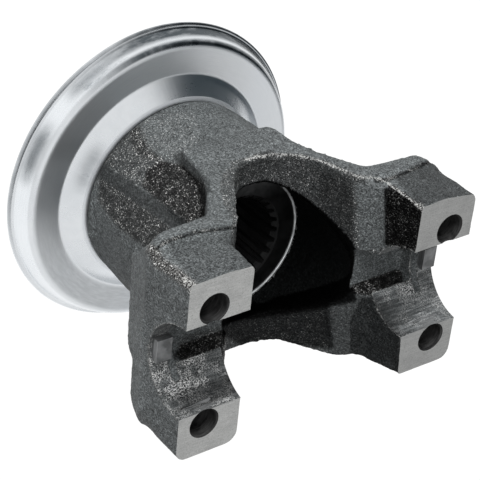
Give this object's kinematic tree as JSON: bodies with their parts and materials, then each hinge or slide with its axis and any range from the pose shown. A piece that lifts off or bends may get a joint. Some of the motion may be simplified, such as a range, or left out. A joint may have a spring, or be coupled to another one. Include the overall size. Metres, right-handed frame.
{
  "type": "pinion yoke",
  "caption": "Cast pinion yoke with a splined hub, half-round saddles that hold a universal joint's caps under U-bolts, and a pressed-on dust shield.",
  "frame": {"origin": "centre of the hub's rear end face, on the spline axis; the yoke stands on that face with its ears up", "axes": "+Z along the spline axis towards the ears, X through both ears along the saddles, Y across the saddles"},
  "size_m": [0.0932, 0.0932, 0.0995],
  "materials": {
    "cast_yoke": "as cast, machined pads, saddles, holes and journal",
    "zinc_sheet": "bright zinc plate, satin"
  },
  "bodies": {
    "root": {"yoke": "cast_yoke", "dust_shield": "zinc_sheet"}
  },
  "joints": []
}
